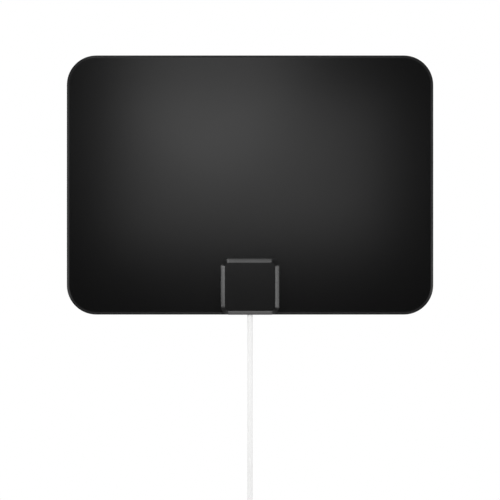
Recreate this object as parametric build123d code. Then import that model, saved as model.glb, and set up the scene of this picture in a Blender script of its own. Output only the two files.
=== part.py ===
from build123d import *
import math
import os

# Flat indoor television antenna, in millimetres.
# X runs to the right and Z up, as the panel is seen from the front.
# The wall is the plane Y = 0, and a height is measured from it to the front, along -Y.

# Panel: a laminate of two plastic sheets
panel_width = 330.0
panel_height = 233.4
panel_corner_radius = 26.5
back_sheet_thickness = 0.7
front_sheet_thickness = 0.9
rim_bevel_width = 2.0
rim_bevel_depth = 0.6

# Foil elements between the sheets
foil_thickness = 0.12
foil_edge_margin = 15.0
foil_centre_gap = 24.0
foil_band_width = 22.0
foil_corner_radius = 8.0
foil_housing_gap = 8.0

# Terminal housing on the middle of the lower edge
housing_width = 52.3
housing_height = 50.3
housing_corner_radius = 7.5
housing_bevel_width = 3.5
housing_bevel_depth = 1.75
housing_edge_round = 0.35
cover_wall = 1.5
lid_gap = 0.25

# Rear cover, flush with the back of the panel
rear_inset = 2.2
rear_corner_radius = 4.0
rear_bottom_strip = 4.5
clamped_margin = 4.5
plate_gap = 0.2
contact_ear_height = 6.0

# Screws
screw_diameter = 2.0
screw_head_diameter = 3.8
screw_head_height = 0.9
screw_head_bevel = 0.35
screw_length = 4.4
screw_tip_room = 0.7
screw_slot_length = 2.3
screw_slot_width = 0.5
screw_slot_depth = 0.45
screw_play = 0.05
head_play = 0.15
hole_play = 0.1
boss_diameter = 5.4
boss_land = 0.8
rib_thickness = 1.0
rib_lift = 1.2

# Balun board with its ferrite core, its winding and the two leaf contacts
board_side_gap = 0.65
board_height = 14.0
board_thickness = 1.0
board_corner_radius = 1.0
board_peg_diameter = 1.4
board_post_diameter = 3.0
board_edge_land = 0.5
board_peg_rise = 0.4
core_width = 6.4
core_height = 3.0
core_length = 5.0
core_side_radius = 1.35
core_hole_diameter = 1.4
core_hole_spacing = 3.0
wire_diameter = 0.4
wire_gap = 0.03
wire_turns = 2
contact_thickness = 0.3
contact_width = 4.0
contact_foot = 4.0

# Coaxial lead
cable_diameter = 5.0
cable_seat_gap = 0.1
cable_slot_play = 0.1
dielectric_diameter = 3.1
conductor_diameter = 0.5
braid_diameter = 0.9
braid_step = 2.5
braid_lead_in = 0.5
braid_bend = 1.2
strip_length = 2.7
conductor_core_gap = 1.5
clamp_width = 18.0
clamp_length = 5.0
clamp_lug = 1.4
clamp_arch = 0.7
clamp_edge_land = 0.2

# Route of the lead below the panel: a straight drop, then a tied coil that hangs from it
cable_drop = 184.0
coil_mean_radius = 28.5
coil_layers = 4
coil_margin = 0.2
coil_bevel = 1.25
leave_angle = 145.0
bend_share = 0.45
stub_length = 19.8
tail_length = 19.0
tie_width = 6.0
tie_thickness = 0.7
tie_gap = 0.05
tie_lap = 13.0

# F-type plug at the far end
nut_across_flats = 11.0
nut_length = 11.4
nut_lip = 1.6
nut_bore_radius = 4.5
nut_running_gap = 0.1
nut_end_gap = 0.3
nut_face_land = 0.1
nut_mouth_bevel = 0.3
nut_bevel_angle = 30.0
neck_radius = 3.2
flange_radius = 4.15
flange_thickness = 1.2
sleeve_radius = 3.9
sleeve_length = 10.5
sleeve_bevel = 0.3
socket_depth = 9.0
socket_play = 0.05
crimp_across_flats = 7.0
crimp_length = 6.5
pin_diameter = 1.0
pin_reach = 2.0
pin_point_length = 0.4
pin_point_radius = 0.15

# How far a cut runs past the faces that it opens, and a feature's root into what it stands on
overcut = 1.0
root_depth = 0.1

# Heights above the wall that the pieces share
panel_front = back_sheet_thickness + front_sheet_thickness
foil_front = back_sheet_thickness + foil_thickness
cable_height = panel_front + cable_seat_gap + cable_diameter / 2
board_front = cable_height - conductor_diameter / 2 - wire_gap
board_back = board_front - board_thickness
clamp_top = cable_height + cable_diameter / 2 + clamp_arch
ceiling = max(clamp_top, board_front + core_height) + lid_gap
housing_front = ceiling + cover_wall
shoulder = housing_front - housing_bevel_depth

# Places on the panel that the pieces share
panel_bottom = -panel_height / 2
housing_middle = panel_bottom + housing_height / 2
housing_top = panel_bottom + housing_height
rear_width = housing_width - 2 * rear_inset
rear_top = housing_top - rear_inset
rear_bottom = panel_bottom + rear_bottom_strip
rear_height = rear_top - rear_bottom
rear_middle = (rear_top + rear_bottom) / 2
window_width = rear_width - 2 * clamped_margin
window_height = rear_height - 2 * clamped_margin
window_corner_radius = rear_corner_radius / 2
boss_x = window_width / 2 - plate_gap - boss_diameter / 2 - boss_land
boss_z = window_height / 2 - plate_gap - boss_diameter / 2 - boss_land
board_middle = rear_middle + boss_z - boss_diameter / 2 - contact_width / 2 - boss_land
strip_z = rear_middle - window_height / 2 + clamp_length + 2 * boss_land
clamp_z = strip_z - clamp_length / 2 - boss_land
ear_x = window_width / 2 + clamped_margin / 2
feed_tab_width = clamped_margin - 2 * plate_gap
board_width = 2 * (boss_x - boss_diameter / 2 - board_side_gap)
clamp_screw_x = clamp_width / 2 - screw_head_diameter / 2 - clamp_edge_land

# Route of the lead
coil_bundle = coil_layers * cable_diameter + 2 * coil_margin
outer_turn = coil_mean_radius + (coil_layers - 1) * cable_diameter / 2
leave = math.radians(leave_angle)
corner_z = panel_bottom - cable_drop
coil_z = corner_z - outer_turn / math.sin(leave)
coil_height = cable_height + (coil_layers - 1) * cable_diameter / 2
tail_x = -outer_turn
tail_height = cable_height + (coil_layers - 1) * cable_diameter
plug_z = coil_z - stub_length - tail_length + socket_depth


def point(x, height, z):
    """A place given by its height above the wall."""
    return Vector(x, -height, z)


def slab(sketch, low, high):
    """A sketch drawn as seen from the front, made solid between two heights."""
    return extrude(Plane.XZ.offset(low) * sketch, amount=high - low)


def rounded(width, height, radius, x=0.0, z=0.0):
    """A rounded rectangle at a place on the panel."""
    return Pos(x, z) * RectangleRounded(width, height, radius)


def peg(x, z, diameter, low, high):
    """A round bar that stands on the panel."""
    return slab(Pos(x, z) * Circle(diameter / 2), low, high)


def front_edges(part):
    """The outer edges of the frontmost face of a part."""
    return part.faces().sort_by(Axis.Y)[0].outer_wire().edges()


def bevelled(part, width, depth):
    """Cuts a sloped border, that wide and that deep, along the front of a part."""
    front = part.faces().sort_by(Axis.Y)[0]
    return chamfer(front.outer_wire().edges(), length=width, length2=depth, reference=front)


def sheet_outline():
    return RectangleRounded(panel_width, panel_height, panel_corner_radius)


def rear_outline(gap):
    """Outline of the rear cover, or with no gap that of its window in the back sheet."""
    return rounded(
        rear_width - 2 * gap, rear_height - 2 * gap, rear_corner_radius - gap, z=rear_middle
    )


def window_outline(gap):
    """Window in the front sheet, or with a gap the raised pad of the rear cover that fills it."""
    return rounded(
        window_width - 2 * gap, window_height - 2 * gap, window_corner_radius - gap, z=rear_middle
    )


def foil_outline(side):
    """One foil element: a loop, and a feed tab that runs down from it under the housing."""
    low = housing_top + foil_housing_gap
    high = panel_height / 2 - foil_edge_margin
    near = foil_centre_gap / 2
    far = panel_width / 2 - foil_edge_margin
    middle_x = side * (near + far) / 2
    middle_z = (low + high) / 2
    loop = rounded(far - near, high - low, foil_corner_radius, middle_x, middle_z)
    loop -= rounded(
        far - near - 2 * foil_band_width,
        high - low - 2 * foil_band_width,
        foil_corner_radius / 2,
        middle_x,
        middle_z,
    )
    tab_low = board_middle - contact_ear_height / 2 + plate_gap
    tab_high = low + foil_band_width / 2
    feed_x = side * ear_x
    tab = Pos(feed_x, (tab_low + tab_high) / 2) * Rectangle(feed_tab_width, tab_high - tab_low)
    return loop + tab


def contact_ears():
    """Two side notches of the front window, in which the leaf contacts reach the foil."""
    reach = clamped_margin - 2 * plate_gap
    notch = Rectangle(reach + overcut, contact_ear_height)
    middle_x = window_width / 2 + reach / 2
    return Pos(-middle_x, board_middle) * notch + Pos(middle_x, board_middle) * notch


def front_blank():
    """The front sheet with its bevelled rim, before its windows are cut."""
    sheet = slab(sheet_outline(), back_sheet_thickness, panel_front)
    return bevelled(sheet, rim_bevel_width, rim_bevel_depth)


def front_sheet():
    sheet = front_blank()
    sheet -= slab(window_outline(0) + contact_ears(), 0, panel_front + overcut)
    for side in (-1, 1):
        sheet -= slab(foil_outline(side), back_sheet_thickness - overcut, foil_front)
    return sheet


def back_sheet():
    return slab(sheet_outline() - rear_outline(0), 0, back_sheet_thickness)


def foil_element(side):
    return slab(foil_outline(side), back_sheet_thickness, foil_front)


def screw_places():
    return [(x, rear_middle + z) for x in (-boss_x, boss_x) for z in (-boss_z, boss_z)]


def cable_slot():
    """The slot in the lower wall of the front cover that the lead leaves by."""
    radius = cable_diameter / 2 + cable_slot_play
    depth = cable_height - panel_front + overcut
    sketch = Pos(0, -cable_height) * Circle(radius)
    sketch += Pos(0, -cable_height + depth / 2) * Rectangle(2 * radius, depth)
    through = cover_wall + housing_bevel_width + overcut
    return extrude(Plane.XY.offset(panel_bottom - overcut) * sketch, amount=through)


def front_cover():
    """Front shell: walls that seat on the sheet and its rim, a sloped border, and four screw bosses."""
    outline = rounded(housing_width, housing_height, housing_corner_radius, z=housing_middle)
    seat = panel_front - rim_bevel_depth
    shell = slab(outline, seat, housing_front) - front_blank()
    shell = bevelled(shell, housing_bevel_width, housing_bevel_depth)
    shell = fillet(front_edges(shell), housing_edge_round)
    slope = housing_bevel_depth / housing_bevel_width
    thick = cover_wall * math.sqrt(1 + slope * slope)
    inner_shoulder = shoulder + slope * cover_wall - thick
    inner_depth = ceiling - inner_shoulder
    inside = rounded(
        housing_width - 2 * cover_wall,
        housing_height - 2 * cover_wall,
        housing_corner_radius - cover_wall,
        z=housing_middle,
    )
    cavity = bevelled(slab(inside, seat, ceiling), inner_depth / slope, inner_depth)
    shell -= cavity
    for x, z in screw_places():
        shell += peg(x, z, boss_diameter, panel_front, ceiling + cover_wall / 2)
        shell += boss_rib(x, z)
    for x, z in screw_places():
        hole_end = screw_head_height + screw_length + screw_tip_room
        shell -= peg(x, z, screw_diameter + 2 * screw_play, panel_front - overcut, hole_end)
    return shell - cable_slot()


def boss_rib(x, z):
    """A thin rib from a screw boss to the nearer side wall, clear of the sheet below it."""
    wall_x = housing_width / 2 - cover_wall / 2
    length = wall_x - abs(x)
    middle_x = math.copysign(abs(x) + length / 2, x)
    rib = Pos(middle_x, z) * Rectangle(length, rib_thickness)
    return slab(rib, panel_front + rib_lift, ceiling - housing_bevel_depth)


def board_peg_places():
    x = board_width / 2 - board_post_diameter / 2 - board_edge_land
    z = board_height / 2 - board_post_diameter / 2 - board_edge_land
    return [(-x, board_middle - z), (x, board_middle - z)]


def rear_cover():
    """Flush plate behind the panel, with posts for the board and a saddle for the lead."""
    plate = slab(rear_outline(plate_gap), 0, back_sheet_thickness)
    plate += slab(window_outline(plate_gap), 0, panel_front)
    for x, z in board_peg_places():
        plate += peg(x, z, board_post_diameter, panel_front - root_depth, board_back)
        plate += peg(x, z, board_peg_diameter, board_back - root_depth, board_front + board_peg_rise)
    saddle = Pos(0, clamp_z) * Rectangle(clamp_width, clamp_length)
    plate += slab(saddle, panel_front - root_depth, cable_height)
    plate -= lead_groove()
    for x, z in screw_places():
        plate -= peg(x, z, screw_head_diameter + 2 * head_play, -overcut, screw_head_height)
        plate -= peg(x, z, screw_diameter + 2 * hole_play, -overcut, panel_front + overcut)
    for x in (-clamp_screw_x, clamp_screw_x):
        hole_end = cable_height + clamp_lug - screw_length - screw_tip_room
        plate -= peg(x, clamp_z, screw_diameter + 2 * screw_play, hole_end, cable_height + overcut)
    return plate


def lead_groove():
    """Round groove for the lead through the clamp and its saddle."""
    radius = cable_diameter / 2 + screw_play
    start = Plane(point(0, cable_height, clamp_z - clamp_length), z_dir=(0, 0, 1))
    return extrude(start * Circle(radius), amount=2 * clamp_length)


def screw(x, z, seat, toward_front):
    """A pan head screw with a cross recess: its head rests on the seat, its shank runs the other way."""
    sign = 1 if toward_front else -1
    head_end = seat - sign * screw_head_height
    tip = seat + sign * screw_length
    head = peg(x, z, screw_head_diameter, min(seat, head_end), max(seat, head_end))
    outer = head.edges().filter_by(GeomType.CIRCLE).sort_by(Axis.Y)[-1 if toward_front else 0]
    head = chamfer(outer, screw_head_bevel)
    recess_end = head_end + sign * screw_slot_depth
    recess_start = head_end - sign * overcut
    cross = Rectangle(screw_slot_length, screw_slot_width)
    cross += Rectangle(screw_slot_width, screw_slot_length)
    head -= slab(Pos(x, z) * cross, min(recess_start, recess_end), max(recess_start, recess_end))
    shank = peg(x, z, screw_diameter, min(seat, tip), max(seat, tip))
    return head + shank


def cover_screws():
    return Compound([screw(x, z, screw_head_height, True) for x, z in screw_places()])


def clamp_screws():
    seat = cable_height + clamp_lug
    return Compound([screw(x, clamp_z, seat, False) for x in (-clamp_screw_x, clamp_screw_x)])


def cable_clamp():
    """Bar with two lugs and an arch, which presses the lead into its saddle."""
    bar_outline = Pos(0, clamp_z) * Rectangle(clamp_width, clamp_length)
    lugs = slab(bar_outline, cable_height, cable_height + clamp_lug)
    radius = cable_diameter / 2 + clamp_arch
    start = Plane(point(0, cable_height, clamp_z - clamp_length / 2), z_dir=(0, 0, 1))
    arch = extrude(start * Circle(radius), amount=clamp_length)
    above = slab(bar_outline, cable_height, cable_height + 2 * radius)
    bar = lugs + (arch & above)
    bar -= lead_groove()
    for x in (-clamp_screw_x, clamp_screw_x):
        high = cable_height + clamp_lug + overcut
        bar -= peg(x, clamp_z, screw_diameter + 2 * hole_play, cable_height - overcut, high)
    return bar


def balun_board():
    board = slab(
        rounded(board_width, board_height, board_corner_radius, z=board_middle), board_back, board_front
    )
    for x, z in board_peg_places():
        hole = board_peg_diameter + 2 * hole_play
        board -= peg(x, z, hole, board_back - overcut, board_front + overcut)
    return board


def balun_core():
    """Two-hole ferrite core: a flat bar with round sides, its holes along Z."""
    middle = board_front + core_height / 2
    sketch = Pos(0, -middle) * RectangleRounded(core_width, core_height, core_side_radius)
    for side in (-1, 1):
        sketch -= Pos(side * core_hole_spacing / 2, -middle) * Circle(core_hole_diameter / 2)
    start = Plane.XY.offset(board_middle - core_length / 2)
    return extrude(start * sketch, amount=core_length)


def balun_winding():
    """Wire turns, side by side through both holes of the core, bent over its ends."""
    middle = board_front + core_height / 2
    half_x = core_hole_spacing / 2
    half_z = core_length / 2 + wire_diameter / 2 + wire_gap
    turns = []
    for number in range(wire_turns):
        height = middle + (number - (wire_turns - 1) / 2) * (wire_diameter + wire_gap)
        loop = Polyline(
            point(0, height, board_middle - half_z),
            point(half_x, height, board_middle - half_z),
            point(half_x, height, board_middle + half_z),
            point(-half_x, height, board_middle + half_z),
            point(-half_x, height, board_middle - half_z),
            close=True,
        )
        section = Plane(loop @ 0, z_dir=loop % 0) * Circle(wire_diameter / 2)
        turns.append(sweep(section, path=loop, transition=Transition.RIGHT).solid())
    return Compound(turns)


def leaf_contact(side):
    """Bent strip: a foot on the board, a long arm, and a tip that presses on the foil."""
    half = contact_thickness / 2
    foot_x = board_width / 2 - contact_foot
    drop_x = window_width / 2 + plate_gap + contact_thickness
    tip_x = window_width / 2 + clamped_margin - 4 * plate_gap
    line = Polyline(
        (side * foot_x, -(board_front + half)),
        (side * drop_x, -(board_front + half)),
        (side * (drop_x + 2 * contact_thickness), -(foil_front + half)),
        (side * tip_x, -(foil_front + half)),
    )
    strip = make_face(offset(line, amount=half, kind=Kind.INTERSECTION))
    start = Plane.XY.offset(board_middle - contact_width / 2)
    return extrude(start * strip, amount=contact_width)


def cable_end_bar(diameter, low, high):
    """A straight bar along the line of the lead, between two places on Z."""
    start = Plane(point(0, cable_height, low), z_dir=(0, 0, 1))
    return extrude(start * Circle(diameter / 2), amount=high - low)


def cable_dielectric():
    end = strip_z + strip_length
    return cable_end_bar(dielectric_diameter, strip_z, end) - cable_conductor()


def cable_conductor():
    return cable_end_bar(conductor_diameter, strip_z, board_middle - core_length / 2 - conductor_core_gap)


def cable_braid():
    """The braid, twisted into a pigtail that runs from the jacket's end to the board."""
    height = board_front + braid_diameter / 2 + wire_gap
    start_x = dielectric_diameter / 2 + braid_diameter / 2 + wire_gap
    step_z = board_middle - board_height / 2 - braid_lead_in
    path = FilletPolyline(
        point(start_x, height, strip_z),
        point(start_x, height, step_z),
        point(start_x + braid_step, height, step_z + braid_step),
        point(start_x + braid_step, height, step_z + 2 * braid_step),
        radius=braid_bend,
    )
    section = Plane(path @ 0, z_dir=path % 0) * Circle(braid_diameter / 2)
    return sweep(section, path=path)


def leave_point():
    return point(outer_turn * math.cos(leave), cable_height, coil_z + outer_turn * math.sin(leave))


def leave_direction():
    """The way the lead leaves its outer turn, up toward the drop."""
    return Vector(math.sin(leave), 0, -math.cos(leave))


def cable():
    """The free lead: a straight drop from the clamp, and a bend that takes a share of the slanted run."""
    top = point(0, cable_height, strip_z)
    corner = point(0, cable_height, corner_z)
    end = leave_point() + leave_direction() * stub_length
    run = (corner - end).length
    bend = bend_share * run / math.tan((math.pi - leave) / 2)
    path = FilletPolyline(top, corner, end, radius=bend)
    section = Plane(top, z_dir=(0, 0, -1)) * Circle(cable_diameter / 2)
    tube = sweep(section, path=path)
    print("lead: bend radius", round(bend, 1), "length", round(path.length, 1))
    expected = path.length * math.pi * cable_diameter**2 / 4
    print("lead: volume", round(tube.volume), "of", round(expected))
    return tube


def cable_coil():
    """Outer shape of the tied coil, with the two short stubs by which the lead goes in and out."""
    square = Rectangle(coil_bundle, coil_bundle)
    square = chamfer(square.vertices(), coil_bevel)
    section = Pos(-coil_height, coil_z + coil_mean_radius) * square
    axis = Axis((0, 0, coil_z), (0, 1, 0))
    ring = revolve(Plane.YZ * section, axis=axis)
    entry = Plane(leave_point(), z_dir=leave_direction()) * Circle(cable_diameter / 2)
    ring += extrude(entry, amount=stub_length)
    exit_point = point(tail_x, tail_height, coil_z)
    away = Plane(exit_point, z_dir=(0, 0, -1)) * Circle(cable_diameter / 2)
    return ring + extrude(away, amount=stub_length)


def cable_tail():
    start = Plane(point(tail_x, tail_height, coil_z - stub_length), z_dir=(0, 0, -1))
    return extrude(start * Circle(cable_diameter / 2), amount=tail_length)


def coil_tie():
    """Flat band round the bundle at the top of the coil."""
    inner = coil_mean_radius - coil_bundle / 2
    outer = coil_mean_radius + coil_bundle / 2
    sag = inner - math.sqrt(inner * inner - tie_width * tie_width / 4)
    low = coil_z + inner - sag - tie_gap
    high = coil_z + outer + tie_gap
    across = coil_bundle + 2 * tie_gap
    middle = Pos(-coil_height, (low + high) / 2)
    thick = 2 * tie_thickness
    band = middle * RectangleRounded(across + thick, high - low + thick, coil_bevel + tie_thickness)
    band -= middle * RectangleRounded(across, high - low, coil_bevel)
    lap_middle = Pos(-coil_height, high + 1.5 * tie_thickness)
    band += lap_middle * Rectangle(tie_lap, tie_thickness)
    return extrude(Plane.YZ.offset(-tie_width / 2) * band, amount=tie_width)


def turned(profile):
    """A piece turned about the line of the plug, from radii and depths below the plug's rear end."""
    face = make_face(Polyline(*[(radius, -depth) for radius, depth in profile], close=True))
    solid = revolve(Plane.XZ * face, axis=Axis.Z)
    return Pos(tail_x, -tail_height, plug_z) * solid


def hexagon_bar(across_flats, low, high):
    sketch = RegularPolygon(across_flats / 2, 6, major_radius=False)
    solid = extrude(Plane.XY.offset(-high) * sketch, amount=high - low)
    return Pos(tail_x, -tail_height, plug_z) * solid


def plug_end():
    """Depth of the front of the flange, where the lead's dielectric ends too."""
    return sleeve_length + nut_lip + 2 * nut_end_gap + flange_thickness


def plug_body():
    """Sleeve crimped on the lead, a neck that the nut runs on, and a flange that keeps the nut."""
    socket = cable_diameter / 2 + socket_play
    bore = dielectric_diameter / 2 + socket_play
    end = plug_end()
    neck_end = end - flange_thickness
    body = turned(
        [
            (socket, 0),
            (sleeve_radius - sleeve_bevel, 0),
            (sleeve_radius, sleeve_bevel),
            (sleeve_radius, sleeve_length),
            (neck_radius, sleeve_length),
            (neck_radius, neck_end),
            (flange_radius, neck_end),
            (flange_radius, end),
            (bore, end),
            (bore, socket_depth),
            (socket, socket_depth),
        ]
    )
    low = (sleeve_length - crimp_length) / 2
    high = low + crimp_length
    inner = crimp_across_flats / 2 - root_depth
    outer = sleeve_radius + overcut
    ring = turned([(inner, low), (outer, low), (outer, high), (inner, high)])
    return body - (ring - hexagon_bar(crimp_across_flats, low - overcut, high + overcut))


def coupling_nut():
    """Hexagon nut with a lip behind the flange; it turns freely on the neck."""
    low = sleeve_length + nut_end_gap
    high = low + nut_length
    corner = nut_across_flats / math.sqrt(3)
    cut = corner - nut_across_flats / 2
    rise = cut * math.tan(math.radians(nut_bevel_angle))
    outside = turned(
        [
            (neck_radius + nut_running_gap, low),
            (nut_across_flats / 2 - nut_face_land, low),
            (corner, low + rise),
            (corner, high - rise),
            (nut_across_flats / 2 - nut_face_land, high),
            (nut_bore_radius + nut_mouth_bevel, high),
            (nut_bore_radius, high - nut_mouth_bevel),
            (nut_bore_radius, low + nut_lip),
            (neck_radius + nut_running_gap, low + nut_lip),
        ]
    )
    return outside & hexagon_bar(nut_across_flats, low - overcut, high + overcut)


def plug_pin():
    """The conductor of the lead inside the plug, and its thicker free end."""
    tip = sleeve_length + nut_end_gap + nut_length + pin_reach
    inner = conductor_diameter / 2
    radius = pin_diameter / 2
    return turned(
        [
            (0, socket_depth),
            (inner, socket_depth),
            (inner, plug_end()),
            (radius, plug_end()),
            (radius, tip - pin_point_length),
            (pin_point_radius, tip),
            (0, tip),
        ]
    )


def plug_dielectric():
    radius = dielectric_diameter / 2
    inner = conductor_diameter / 2
    end = plug_end()
    return turned([(inner, socket_depth), (radius, socket_depth), (radius, end), (inner, end)])


pieces = {
    "front_sheet": front_sheet(),
    "back_sheet": back_sheet(),
    "left_element": foil_element(-1),
    "right_element": foil_element(1),
    "front_cover": front_cover(),
    "rear_cover": rear_cover(),
    "cover_screws": cover_screws(),
    "balun_board": balun_board(),
    "balun_core": balun_core(),
    "balun_winding": balun_winding(),
    "left_contact": leaf_contact(-1),
    "right_contact": leaf_contact(1),
    "cable_clamp": cable_clamp(),
    "clamp_screws": clamp_screws(),
    "cable_dielectric": cable_dielectric(),
    "cable_conductor": cable_conductor(),
    "cable_braid": cable_braid(),
    "cable": cable(),
    "cable_coil": cable_coil(),
    "coil_tie": coil_tie(),
    "cable_tail": cable_tail(),
    "plug_body": plug_body(),
    "coupling_nut": coupling_nut(),
    "plug_dielectric": plug_dielectric(),
    "plug_pin": plug_pin(),
}

os.makedirs("parts", exist_ok=True)
for name, shape in pieces.items():
    export_step(shape, f"parts/{name}.step")
    print(name, len(shape.solids()), "solid(s)", round(shape.volume), "mm3")
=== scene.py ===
# %% [markdown]
# # A flat indoor television antenna
# The antenna is a thin black panel with a small bevelled housing on its lower edge and a white
# lead. Its rigid pieces come from a CAD model at their real size, in metres. This lesson adds what
# such a model leaves out: the long lead with its coil, a thread, the finishes, the light and the
# camera. The pieces could be imported one by one, but loading them as one frame keeps each where
# it was designed. The box round them is kept, and the floor is set just below it.

# %% Load the frame
import bmesh
import bpy
import math
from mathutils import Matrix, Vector


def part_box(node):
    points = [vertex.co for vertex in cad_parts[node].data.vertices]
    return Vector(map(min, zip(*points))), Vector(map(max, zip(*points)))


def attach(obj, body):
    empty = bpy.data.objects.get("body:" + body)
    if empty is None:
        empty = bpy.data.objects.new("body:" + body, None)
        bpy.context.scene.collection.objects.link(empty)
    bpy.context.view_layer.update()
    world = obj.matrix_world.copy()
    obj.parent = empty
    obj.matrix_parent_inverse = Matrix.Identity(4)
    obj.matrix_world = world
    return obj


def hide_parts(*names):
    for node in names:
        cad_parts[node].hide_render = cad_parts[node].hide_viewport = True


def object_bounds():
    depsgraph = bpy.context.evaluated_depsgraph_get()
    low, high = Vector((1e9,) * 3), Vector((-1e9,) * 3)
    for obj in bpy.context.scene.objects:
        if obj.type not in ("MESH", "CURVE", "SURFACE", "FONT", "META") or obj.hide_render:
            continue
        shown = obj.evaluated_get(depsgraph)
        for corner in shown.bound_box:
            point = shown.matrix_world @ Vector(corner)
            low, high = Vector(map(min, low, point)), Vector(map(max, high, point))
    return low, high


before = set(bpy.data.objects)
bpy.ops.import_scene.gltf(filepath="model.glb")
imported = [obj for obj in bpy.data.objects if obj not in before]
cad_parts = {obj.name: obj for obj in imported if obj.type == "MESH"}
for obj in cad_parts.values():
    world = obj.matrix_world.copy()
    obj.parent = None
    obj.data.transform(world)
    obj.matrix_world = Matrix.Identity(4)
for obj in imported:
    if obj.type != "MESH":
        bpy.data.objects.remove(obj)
cad_low, cad_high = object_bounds()
panel_low, panel_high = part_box("front_sheet")
housing_low, housing_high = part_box("front_cover")
print("loaded", len(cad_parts), "pieces, panel", [round(v, 4) for v in panel_high - panel_low])

# %% [markdown]
# ## The camera
# The photograph is taken square on and from far away, so the sides of the panel stay parallel. The
# panel is above the middle of the picture. Shifting the lens would do that, and so does a camera
# that stands lower, because the panel is flat. The second way keeps every other view simple. The
# known width of the panel, in metres and in pixels, gives the lens.

# %% Camera
picture_pixels = 500
panel_width_pixels = 366.5
panel_middle_pixels = (250.04, 185.0)
camera_distance = 2.0

metres_per_pixel = (panel_high.x - panel_low.x) / panel_width_pixels
lens = bpy.data.cameras.new("camera")
lens.sensor_fit = "HORIZONTAL"
lens.lens = lens.sensor_width * camera_distance / (picture_pixels * metres_per_pixel)
camera = bpy.data.objects.new("camera", lens)
camera.location = (
    (picture_pixels / 2 - panel_middle_pixels[0]) * metres_per_pixel,
    panel_low.y - camera_distance,
    (panel_middle_pixels[1] - picture_pixels / 2) * metres_per_pixel,
)
camera.rotation_euler = (math.radians(90), 0, 0)
bpy.context.collection.objects.link(camera)
bpy.context.scene.camera = camera
print("lens", round(lens.lens, 1), "mm, camera at", [round(v, 4) for v in camera.location])

# %% [markdown]
# ## The lead
# The lead is three metres of round coaxial cable. The photograph shows its first straight drop,
# and the rest is put away in a tied coil just below the picture. A tube could be swept along
# straight runs and arcs, but a cable bends smoothly, so it is one curve with a round bevel. Its
# control points are few on the drop, and a loop winds the coil: four flat spirals side by side,
# inward and outward in turn. On each turn the lead moves over to the next berth at the bottom of
# the coil. Where it changes from one spiral to the next it swings clear of its neighbours, and it
# takes nearly a whole turn for that, because a sudden swing would bend it too tightly.

# %% Berths of the coil
lead_diameter = 0.005
coil_middle_z = -0.36346
coil_radii = [0.036, 0.031, 0.026, 0.021]
coil_columns = [-0.0042, -0.0092, -0.0142, -0.0192]

berths = []
for number, column in enumerate(coil_columns):
    radii = coil_radii if number % 2 == 0 else coil_radii[::-1]
    berths += [(radius, column) for radius in radii]
print("berths for", len(berths), "turns")

# %% Winding the coil
first_angle = 145.0
whole_turns = 15
last_angle = 180.0 + whole_turns * 360.0
coil_points = 362
move_from, move_to = 200.0, 345.0
swing = 0.0021
swing_reach = 175.0
points_apart = (last_angle - first_angle) / coil_points
# Beside a control point the spline is three quarters that point and an eighth each neighbour.
corner_cut = 0.75 + 0.25 * math.cos(math.radians(points_apart))


def swing_at(angle):
    """How far the lead swings outward, or inward at the inner turn, round a change of spiral."""
    outward = 0.0
    for spiral in range(1, len(coil_columns)):
        change = (spiral * len(coil_radii) - 1) * 360.0 + (move_from + move_to) / 2
        nearness = max(0.0, 1 - abs(angle - change) / swing_reach)
        side = -1 if spiral % 2 else 1
        outward += side * swing * math.sin(math.pi / 2 * nearness) ** 2
    return outward


def berth_at(angle):
    """Radius and column of the lead at an angle, counted on from turn to turn."""
    turn, past = divmod(angle - move_from, 360.0)
    share = min(past / (move_to - move_from), 1.0)
    place = turn + share * share * (3 - 2 * share)
    number = min(int(place), len(berths) - 2)
    part = place - number
    (radius, column), (next_radius, next_column) = berths[number : number + 2]
    radius += part * (next_radius - radius) + swing_at(angle)
    return radius, column + part * (next_column - column)


def coil_point(number):
    angle = first_angle + number * points_apart
    radius, column = berth_at(angle)
    radius /= corner_cut
    turned = math.radians(angle)
    return (radius * math.cos(turned), column, coil_middle_z + radius * math.sin(turned))


wound = [coil_point(number) for number in range(1, coil_points + 1)]
print("coil of", len(wound), "points,", round((last_angle - first_angle) / 360, 2), "turns")

# %% The lead as one curve
drop_y = coil_columns[0]
tail_x, tail_y = -coil_radii[0], coil_columns[-1]
drop_route = [
    (0.0, drop_y, -0.1011),
    (0.0, drop_y, -0.2691),
    (0.0, drop_y, -0.3007),
    (-0.01813, drop_y, -0.3266),
    (-0.02949, drop_y, -0.34282),
]
tail_route = [(tail_x, tail_y, -0.38326), (tail_x, tail_y, -0.40226)]
route = drop_route + wound + tail_route

lead_line = bpy.data.curves.new("lead", "CURVE")
lead_line.dimensions = "3D"
# The bevel is a circle of radius 1, and each control point scales it to the lead's own radius.
lead_line.bevel_depth = 1.0
lead_line.bevel_resolution = 6
lead_line.resolution_u = 6
lead_line.use_fill_caps = True
spline = lead_line.splines.new("NURBS")
spline.points.add(len(route) - 1)
for control, place in zip(spline.points, route):
    control.co = (*place, 1.0)
    control.radius = lead_diameter / 2
spline.order_u = 3
spline.use_endpoint_u = True
lead = bpy.data.objects.new("lead", lead_line)
bpy.context.collection.objects.link(lead)
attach(lead, "antenna")
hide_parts("cable", "cable_coil", "cable_tail")
print("lead of", round(spline.calc_length(), 3), "metres")

# %% [markdown]
# ## The thread in the nut
# The nut on the plug has a fine thread in its bore, which shows when one looks in. The CAD model
# leaves threads out. A screw modifier could turn a profile, but a short loop in bmesh gives a closed
# ridge directly: a triangle is carried round and down, and each triangle is joined to the last.

# %% Sizes of the thread
nut_low, nut_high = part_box("coupling_nut")
nut_middle = (nut_low + nut_high) / 2
flange_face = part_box("plug_body")[0].z
thread_pitch = 0.000794
thread_root = 0.00452
thread_crest = 0.00421
ridge_half = 0.48 * thread_pitch
plain_mouth = 0.6 * thread_pitch
points_a_turn = 28
thread_top = flange_face - thread_pitch
thread_bottom = nut_low.z + plain_mouth
print("thread of", round((thread_top - thread_bottom) / thread_pitch, 1), "turns")


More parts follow.
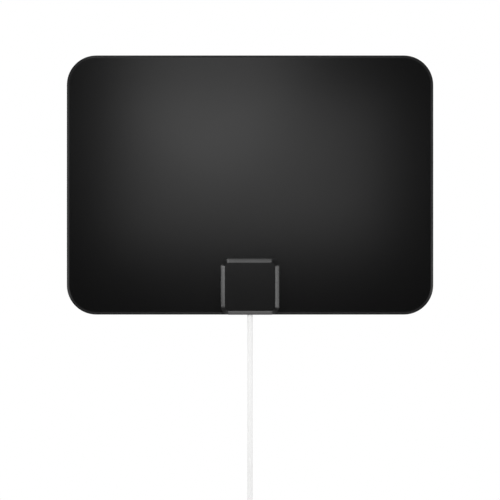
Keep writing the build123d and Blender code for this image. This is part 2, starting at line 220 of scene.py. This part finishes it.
# %% Nut thread
def thread_ridge():
    mesh = bmesh.new()
    count = int((thread_top - thread_bottom) / thread_pitch * points_a_turn)
    rings = []
    for number in range(count + 1):
        angle = 2 * math.pi * number / points_a_turn
        z = thread_top - thread_pitch * number / points_a_turn
        profile = [(thread_root, z + ridge_half), (thread_crest, z), (thread_root, z - ridge_half)]
        around = Vector((math.cos(angle), math.sin(angle), 0.0))
        rings.append([
            mesh.verts.new(Vector((nut_middle.x, nut_middle.y, height)) + radius * around)
            for radius, height in profile
        ])
    for above, below in zip(rings, rings[1:]):
        for side in range(3):
            after = (side + 1) % 3
            mesh.faces.new((above[side], above[after], below[after], below[side]))
    mesh.faces.new(rings[0][::-1])
    mesh.faces.new(rings[-1])
    bmesh.ops.recalc_face_normals(mesh, faces=mesh.faces)
    return mesh


def object_from(mesh, name):
    data = bpy.data.meshes.new(name)
    mesh.to_mesh(data)
    mesh.free()
    made = bpy.data.objects.new(name, data)
    bpy.context.collection.objects.link(made)
    return made


nut_thread = object_from(thread_ridge(), "nut_thread")
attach(nut_thread, "nut")
print("thread of", len(nut_thread.data.polygons), "faces")

# %% [markdown]
# ## Writing finishes as sums
# A finish is a tree of shader nodes. Placing each node by hand hides what is worked out, so a small
# class wraps an output of a node, and ordinary Python sums on it add Math nodes. Any other node
# comes from one method: it sets the node's own settings first, then the values or links of its
# inputs. Colours and vectors have their own nodes, because a Math node would turn a colour grey.


# %% Sums on sockets
class Wire:
    """An output socket in a node tree. Sums on wires and numbers add Math nodes."""

    def __init__(self, tree, socket=None):
        self.tree = tree
        self.socket = socket

    def node(self, kind, settings, inputs, output=0):
        made = self.tree.nodes.new(kind)
        for name, value in settings.items():
            if name == "stops":
                self.set_stops(made.color_ramp.elements, value)
            else:
                setattr(made, name, value)
        for name, value in inputs.items():
            if isinstance(value, Wire):
                self.tree.links.new(value.socket, made.inputs[name])
            else:
                made.inputs[name].default_value = value
        return Wire(self.tree, made.outputs[output])

    def set_stops(self, elements, stops):
        while len(elements) < len(stops):
            elements.new(1.0)
        for element, (position, grey) in zip(elements, stops):
            element.position = position
            element.color = (grey, grey, grey, 1.0)

    def math(self, operation, *values):
        return self.node("ShaderNodeMath", {"operation": operation}, dict(enumerate(values)))

    def __add__(self, other):
        return self.math("ADD", self, other)

    def __radd__(self, other):
        return self.math("ADD", other, self)

    def __sub__(self, other):
        return self.math("SUBTRACT", self, other)

    def __rsub__(self, other):
        return self.math("SUBTRACT", other, self)

    def __mul__(self, other):
        return self.math("MULTIPLY", self, other)

    def __rmul__(self, other):
        return self.math("MULTIPLY", other, self)

    def __truediv__(self, other):
        return self.math("DIVIDE", self, other)

    def __abs__(self):
        return self.math("ABSOLUTE", self)

    def at_least(self, other):
        return self.math("MAXIMUM", self, other)

    def at_most(self, other):
        return self.math("MINIMUM", self, other)

    def root(self):
        return self.math("SQRT", self)

    def wave(self, length):
        """A sine from -1 to 1 that repeats after that length."""
        return self.math("SINE", self * (2 * math.pi / length))


print("sums ready")


# %% Finishes and their inputs
class Finish(Wire):
    """A material with one Principled shader. Constant inputs are set on it, varying ones linked."""

    def __init__(self, name, **constants):
        self.material = bpy.data.materials.new(name)
        self.material.use_nodes = True
        super().__init__(self.material.node_tree)
        self.shader = self.tree.nodes["Principled BSDF"]
        for label, value in constants.items():
            self.shader.inputs[label.replace("_", " ")].default_value = value
        self.place = self.node("ShaderNodeTexCoord", {}, {}, "Object")

    def axes(self):
        split = self.node("ShaderNodeSeparateXYZ", {}, {"Vector": self.place}).socket.node
        return [Wire(self.tree, output) for output in split.outputs]

    def stretched(self, stretch):
        return self.node("ShaderNodeVectorMath", {"operation": "MULTIPLY"}, {0: self.place, 1: stretch})

    def noise(self, size, detail=2.0, place=None):
        """Noise from 0 to 1 whose blotches are about that size, in metres."""
        inputs = {"Vector": place or self.place, "Scale": 1.0 / size, "Detail": detail}
        return self.node("ShaderNodeTexNoise", {}, inputs)

    def ramp(self, value, *stops):
        return self.node("ShaderNodeValToRGB", {"stops": stops}, {"Fac": value})

    def mixed(self, share, first, second):
        inputs = {0: share, 6: (*first, 1.0), 7: (*second, 1.0)}
        return self.node("ShaderNodeMix", {"data_type": "RGBA"}, inputs, 2)

    def bumped(self, height, depth):
        """A normal from a height between 0 and 1, that many metres deep."""
        return self.node("ShaderNodeBump", {}, {"Height": height, "Strength": 1.0, "Distance": depth})

    def feed(self, **wires):
        for label, wire in wires.items():
            self.tree.links.new(wire.socket, self.shader.inputs[label.replace("_", " ")])

    def dress(self, *nodes):
        for name in nodes:
            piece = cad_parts[name] if isinstance(name, str) else name
            piece.data.materials.clear()
            piece.data.materials.append(self.material)
        print(self.material.name, "on", len(nodes), "piece(s)")


print("finishes can be mixed")


# %% Distance inside an outline
def inside_rounded(finish, low, high, radius):
    """How far inside a rounded rectangle between two corners a point of a surface lies, in metres."""
    x, _, z = finish.axes()
    half = (high - low) / 2
    middle = (high + low) / 2
    over_x = (abs(x) - (half.x - radius)).at_least(0.0)
    over_z = (abs(z - middle.z) - (half.z - radius)).at_least(0.0)
    return radius - (over_x * over_x + over_z * over_z).root()


def band(distance, middle, half_width):
    """A soft line: 1 at that distance, falling to 0 at half its width to either side."""
    return (1.0 - abs(distance - middle) / half_width).at_least(0.0)


print("rims and edges can be found")

# %% [markdown]
# ## Black sheet
# The front of the panel is a satin plastic sheet. Close up it has a fine grain, and its gloss is not
# quite even. Its bevelled rim carries a painted highlight: a paler band in its colour stands for the
# bevel's glint. An image could hold that, but noise at the size of the real grain never repeats and
# needs no file. The rim is found with the distance inside the sheet's rounded outline: the painted
# highlight is strongest in its middle.

# %% Black sheet
sheet_black = (0.003, 0.003, 0.0031)
# The rim's paler grey is a painted highlight: the bevel's glint put into its colour.
rim_highlight_grey = (0.022, 0.022, 0.0224)
panel_corner = 0.0265
rim_middle = 0.0014
sheet_roughness = 0.159
sheet_unevenness = 0.03
cloud_size = 0.09
grain_size = 0.00035
grain_depth = 0.000003

black_sheet = Finish("black_sheet", IOR=1.5)
inward = inside_rounded(black_sheet, panel_low, panel_high, panel_corner)
# A painted highlight band along the bevelled rim, strongest at its middle.
painted_rim_highlight = band(inward, rim_middle, rim_middle)
cloud = black_sheet.noise(cloud_size, 3.0)
grain = black_sheet.noise(grain_size, 1.0)
black_sheet.feed(
    Base_Color=black_sheet.mixed(painted_rim_highlight, sheet_black, rim_highlight_grey),
    Roughness=sheet_roughness + sheet_unevenness * (cloud + grain),
    Normal=black_sheet.bumped(grain, grain_depth),
)
black_sheet.dress("front_sheet")

# %% [markdown]
# ## Black housing
# The housing is moulded. The mould gives it a slightly coarser, pebbled grain than the sheet. The
# edge between its face and its sloped border is paler in broken patches: partly wear where fingers
# touch it, partly a painted highlight where a rounded edge would catch the lamps. That edge is again
# a rounded rectangle, so the same distance finds it. The border isn't quite flat, as moulded faces
# seldom are: it falls off by a tenth of a millimetre towards its outer side, so the lamps'
# reflections on it fade outward instead of being one even grey.

# %% Black housing
shell_black = (0.005, 0.005, 0.0051)
# The paler edge colour is partly wear and partly a painted highlight of the edge.
edge_wear_and_highlight = (0.016, 0.016, 0.0164)
housing_corner = 0.0075
bevel_width = 0.0035
crown_depth = 0.00012
edge_half_width = 0.0005
edge_patch_size = 0.004
shell_roughness = 0.175
flow_size = 0.02
flow_share = 0.03
pebble_size = 0.0005
pebble_share = 0.05
black_pebble_depth = 0.000005

black_shell = Finish("black_shell", IOR=1.5)
inward = inside_rounded(black_shell, housing_low, housing_high, housing_corner)
# Broken paler line on the edge: wear and a painted highlight together.
worn_and_highlit_edge = band(inward, bevel_width, edge_half_width) * black_shell.noise(edge_patch_size, 3.0)
pebbles = black_shell.noise(pebble_size)
outward = (1.0 - inward / bevel_width).at_least(0.0).at_most(1.0)
crown = 1.0 - outward * outward
black_shell.feed(
    Base_Color=black_shell.mixed(worn_and_highlit_edge, shell_black, edge_wear_and_highlight),
    Roughness=shell_roughness + pebble_share * pebbles + flow_share * black_shell.noise(flow_size),
    Normal=black_shell.bumped(crown + black_pebble_depth / crown_depth * pebbles, crown_depth),
)
black_shell.dress("front_cover")

# %% [markdown]
# ## White lead
# The jacket is soft white PVC. It has a satin skin with a faint orange-peel texture, and handling
# leaves very slight grey patches. Two noises of different size give both.

# %% White lead
jacket_white = (0.86, 0.86, 0.855)
jacket_grey = (0.84, 0.84, 0.832)
jacket_roughness = 0.36
patch_size = 0.03
patch_from, patch_full = 0.5, 0.8
patch_share = 0.08
peel_size = 0.0012
peel_share = 0.1
peel_depth = 0.000004

cable_jacket = Finish("cable_jacket", IOR=1.5)
handled = cable_jacket.ramp(cable_jacket.noise(patch_size, 4.0), (patch_from, 0.0), (patch_full, 1.0))
peel = cable_jacket.noise(peel_size)
cable_jacket.feed(
    Base_Color=cable_jacket.mixed(handled, jacket_white, jacket_grey),
    Roughness=jacket_roughness + peel_share * peel + patch_share * handled,
    Normal=cable_jacket.bumped(peel, peel_depth),
)
cable_jacket.dress(lead)

# %% [markdown]
# ## White back
# The back of the panel and the plate that closes the housing are white, to vanish on a pale wall.
# The sheet has a matt, slightly fibrous grain. The plate is moulded, and a bit smoother.

# %% White sheet
back_white = (0.80, 0.80, 0.79)
back_shade = (0.775, 0.775, 0.762)
soil_size = 0.12
back_roughness = 0.5
fibre_size = 0.0006
fibre_share = 0.1
fibre_stretch = (1.0, 1.0, 0.35)
white_grain_depth = 0.000012

white_sheet = Finish("white_sheet", IOR=1.48)
fibre = white_sheet.noise(fibre_size, 3.0, white_sheet.stretched(fibre_stretch))
white_sheet.feed(
    Base_Color=white_sheet.mixed(white_sheet.noise(soil_size), back_white, back_shade),
    Roughness=back_roughness + fibre_share * fibre,
    Normal=white_sheet.bumped(fibre, white_grain_depth),
)
white_sheet.dress("back_sheet")

# %% White shell
shade_size = 0.008
plate_roughness = 0.38
plate_pebble_share = 0.1

white_shell = Finish("white_shell", IOR=1.5)
pebbles = white_shell.noise(pebble_size)
white_shell.feed(
    Base_Color=white_shell.mixed(white_shell.noise(shade_size, 3.0), back_white, back_shade),
    Roughness=plate_roughness + plate_pebble_share * pebbles,
    Normal=white_shell.bumped(pebbles, white_grain_depth),
)
white_shell.dress("rear_cover")

# %% [markdown]
# ## Metals
# Screws, plug, contacts, wire and foil are metals. Each is fully metallic, and what tells them apart
# is colour and how they were made: plated parts are cloudy, turned parts have fine rings, rolled
# parts have lines along the sheet. Stretching the same noise in one direction gives rings or lines.

# %% One noise for colour, gloss and bump
even = (1.0, 1.0, 1.0)
turned_rings = (0.08, 0.08, 1.0)
rolled_lines = (0.05, 1.0, 1.0)
twisted_strands = (1.0, 1.0, 0.5)


def marked(
    name, first, second, size, roughness, depth, stretch=even, spread=0.16, detail=3.0, **constants
):
    """A finish between two colours, with marks of that size that also vary its gloss and height."""
    finish = Finish(name, **constants)
    marks = finish.noise(size, detail, finish.stretched(stretch))
    finish.feed(
        Base_Color=finish.mixed(marks, first, second),
        Roughness=roughness + spread * (marks - 0.5),
        Normal=finish.bumped(marks, depth),
    )
    return finish


def metal(name, bright, dull, **marks):
    return marked(name, bright, dull, Metallic=1.0, **marks)


print("marks can be even, rings, lines or strands")

# %% Metals
metal(
    "screw_steel", (0.66, 0.67, 0.69), (0.5, 0.51, 0.54),
    size=0.0004, roughness=0.34, depth=0.000003,
).dress("cover_screws", "clamp_screws")
metal(
    "nickel", (0.74, 0.73, 0.7), (0.62, 0.61, 0.58),
    size=0.0002, roughness=0.24, depth=0.000003, stretch=turned_rings,
).dress("plug_body", "coupling_nut", nut_thread)
metal(
    "conductor", (0.80, 0.46, 0.30), (0.66, 0.34, 0.2),
    size=0.0002, roughness=0.28, depth=0.000002, stretch=turned_rings,
).dress("cable_conductor", "plug_pin")
metal(
    "foil", (0.78, 0.78, 0.79), (0.64, 0.64, 0.65),
    size=0.0006, roughness=0.3, depth=0.000003, stretch=rolled_lines,
).dress("left_element", "right_element")
metal(
    "contact_brass", (0.80, 0.62, 0.3), (0.68, 0.5, 0.22),
    size=0.0004, roughness=0.3, depth=0.000003, stretch=rolled_lines,
).dress("left_contact", "right_contact")
metal(
    "enamelled_wire", (0.62, 0.25, 0.1), (0.45, 0.16, 0.06),
    size=0.0003, roughness=0.22, depth=0.000002, stretch=turned_rings,
).dress("balun_winding")
metal(
    "tinned_braid", (0.7, 0.7, 0.71), (0.36, 0.36, 0.37),
    size=0.00025, roughness=0.36, depth=0.00004, stretch=twisted_strands,
).dress("cable_braid")

# %% [markdown]
# ## Strap and the pieces inside
# The coil is held by a woven strap, so its finish has crossing threads: two waves at right angles.
# Inside the housing are a green circuit board, a sintered ferrite core, a nylon clamp and the
# white plastic round the lead's core. They are hidden, but a part is complete without its cover too.
# The board's tracks run upright in some fields and level in others: there is a wave each way, and a
# coarse noise chooses between them.

# %% Strap
strap_dark = (0.012, 0.012, 0.012)
strap_pale = (0.05, 0.05, 0.052)
strap_roughness = 0.7
strap_thread = 0.0007
weave_depth = 0.00012
fuzz_size = 0.0004
fuzz_share = 0.2
fuzz_height = 0.5

tie_strap = Finish("tie_strap", IOR=1.45)
x, y, z = tie_strap.axes()
weave = 0.5 + 0.25 * (x.wave(strap_thread) + (y + z).wave(strap_thread))
fuzz = tie_strap.noise(fuzz_size, 4.0)
tie_strap.feed(
    Base_Color=tie_strap.mixed(weave * fuzz, strap_dark, strap_pale),
    Roughness=strap_roughness + fuzz_share * fuzz,
    Normal=tie_strap.bumped(weave + fuzz_height * fuzz, weave_depth),
)
tie_strap.dress("coil_tie")

# %% Board
mask_green = (0.012, 0.11, 0.04)
track_green = (0.035, 0.22, 0.08)
track_pitch = 0.003
track_from, track_full = 0.55, 0.62
track_depth = 0.00003
field_size = 0.012
field_from, field_full = 0.49, 0.51
board_roughness = 0.3
blotch_size = 0.001
blotch_share = 0.1

board = Finish("board", IOR=1.5)
x, _, z = board.axes()
upright = board.ramp(board.noise(field_size, 0.0), (field_from, 0.0), (field_full, 1.0))
waves = upright * x.wave(track_pitch) + (1.0 - upright) * z.wave(track_pitch)
track = board.ramp(waves, (track_from, 0.0), (track_full, 1.0))
board.feed(
    Base_Color=board.mixed(track, mask_green, track_green),
    Roughness=board_roughness + blotch_share * board.noise(blotch_size),
    Normal=board.bumped(track, track_depth),
)
board.dress("balun_board")

# %% Clamp, core and dielectric
marked(
    "clamp_plastic", (0.03, 0.03, 0.03), (0.05, 0.05, 0.05),
    size=0.0004, roughness=0.48, depth=0.00001, spread=0.12, detail=2.0, IOR=1.53,
).dress("cable_clamp")
marked(
    "ferrite", (0.02, 0.02, 0.021), (0.07, 0.068, 0.066),
    size=0.0002, roughness=0.65, depth=0.00002, spread=0.2, detail=4.0, IOR=1.9,
).dress("balun_core")
marked(
    "dielectric", (0.86, 0.87, 0.86), (0.78, 0.79, 0.78),
    size=0.0003, roughness=0.425, depth=0.00001, spread=0.15, detail=2.0, IOR=1.5,
).dress("cable_dielectric", "plug_dielectric")

# %% [markdown]
# ## Floor and surroundings
# The antenna hangs on a wall, but the picture shows only white round it. A pale disc below it is
# the floor. It fades out at its edge, so that no horizon shows, and a fine grain in the fade keeps
# its end from showing as a ring. The surroundings are white where the camera looks. For reflections
# they are white behind the panel only: to the front they grow darker, like the unlit side of a
# studio, or the black panel would mirror white and turn grey.

# %% Floor
floor_gap = 0.012
floor_z = cad_low.z - floor_gap
floor_radius = 1.2
fade_from, fade_to = 0.1, 0.5
floor_pale = (0.87, 0.87, 0.87)
floor_paler = (0.89, 0.89, 0.89)
mottle_size = 0.2
fade_grain = 0.001

disc = bmesh.new()
bmesh.ops.create_circle(disc, cap_ends=True, radius=floor_radius, segments=96)
floor = object_from(disc, "floor")
floor.location = (0.0, 0.0, floor_z)

pale_floor = Finish("pale_floor", Roughness=0.9, Specular_IOR_Level=0.1)
x, y, _ = pale_floor.axes()
faded = ((x * x + y * y).root() - fade_from) / (fade_to - fade_from)
grained = faded + pale_floor.noise(fade_grain) - 0.5
pale_floor.feed(
    Base_Color=pale_floor.mixed(pale_floor.noise(mottle_size), floor_pale, floor_paler),
    Alpha=1.0 - grained.at_least(0.0).at_most(1.0),
)
pale_floor.dress(floor)
print("floor at", round(floor_z, 3))

# %% Surroundings
fill_level = 0.79
dark_level = 0.01
dark_until, white_from = -0.65, 0.1

surroundings = bpy.data.worlds.new("surroundings")
surroundings.use_nodes = True
bpy.context.scene.world = surroundings
sky = Wire(surroundings.node_tree)


def ray(kind):
    return sky.node("ShaderNodeLightPath", {}, {}, kind)


seen = ray("Is Camera Ray").at_least(ray("Is Transmission Ray"))
mirrored = ray("Is Glossy Ray")
toward = sky.node("ShaderNodeTexCoord", {}, {}, "Generated")
forward = sky.node("ShaderNodeSeparateXYZ", {}, {"Vector": toward}, "Y")
behind = ((forward - dark_until) / (white_from - dark_until)).at_least(0.0).at_most(1.0)
mirror_level = dark_level + (1.0 - dark_level) * behind
level = seen + (1.0 - seen) * (mirrored * mirror_level + (1.0 - mirrored) * fill_level)
backdrop = surroundings.node_tree.nodes["Background"]
sky.tree.links.new(level.socket, backdrop.inputs["Color"])
print("surroundings: fill", fill_level, "dark side", dark_level)

# %% [markdown]
# ## Lamps
# Soft lamps stand to the left, to the right and above, so far to the side that the flat panel
# doesn't mirror them, while the sloped border of the housing does: that draws its pale strips. A
# small corner lamp does the same for the upper left of the border, and a low lamp for its lower
# side, with a narrow spread that keeps it off the floor. Two weak lamps close to the camera's axis,
# one oblong and one oval, give the panel its broad sheen, above and left of the middle. They
# overlap, and stand one behind the other, because lamps in one plane can hide each other. Two weak
# cards low on both sides are what the panel mirrors when one walks round it, so that it isn't a
# flat black shape from there. A last lamp lights the back. A lamp's power is worked out from how
# bright its face should look.

# %% A lamp
aim = Vector((0.0, panel_low.y, housing_high.z))


def lamp(name, place, size, brightness, shape="RECTANGLE", straight=False, half_spread=None):
    """A lamp turned to the top of the housing, or straight to the panel's plane."""
    width, height = size
    data = bpy.data.lights.new(name, "AREA")
    data.shape = shape
    data.size = width
    data.size_y = height
    area = width * height * (math.pi / 4 if shape == "ELLIPSE" else 1.0)
    data.energy = brightness * math.pi * area
    if half_spread:
        data.spread = 2 * half_spread
        data.energy *= 1 - half_spread / math.tan(half_spread)
    place = Vector(place)
    way = Vector((0.0, 1.0, 0.0)) if straight else aim - place
    made = bpy.data.objects.new(name, data)
    made.location = place
    made.rotation_euler = way.to_track_quat("-Z", "Y").to_euler()
    made.visible_camera = False
    bpy.context.collection.objects.link(made)
    print(name, "at", [round(v, 3) for v in place], "power", round(data.energy, 2), "W")


print("lamps look at", [round(v, 4) for v in aim])

# %% Lamps
lamp("left_lamp", (-1.24, -0.9, 0.02), (0.34, 0.3), 7.2)
lamp("right_lamp", (1.24, -0.9, -0.1), (0.34, 0.5), 4.1)
lamp("top_lamp", (-0.1, -1.32, 1.7), (0.66, 0.46), 3.2)
lamp("corner_lamp", (-0.5, -1.32, 1.62), (0.2, 0.4), 8.0)
lamp("low_lamp", (0.0, -0.21, -0.38), (0.17, 0.09), 3.2, "ELLIPSE", half_spread=0.5)
lamp("wide_lamp", (-0.001, -1.0, 0.051), (0.353, 0.201), 1.06, straight=True)
lamp("upper_lamp", (-0.052, -1.03, 0.204), (0.236, 0.31), 1.084, "ELLIPSE", straight=True)
lamp("left_card", (-0.84, -0.94, -0.25), (0.5, 0.34), 0.7)
lamp("right_card", (0.84, -0.94, -0.25), (0.5, 0.34), 0.55)
lamp("back_lamp", (0.3, 1.4, 0.6), (1.2, 1.0), 2.2)

# %% [markdown]
# ## Colours as written
# The view transform is Standard, so that a colour comes out as it was written.

# %% Finish
bpy.context.scene.view_settings.view_transform = "Standard"
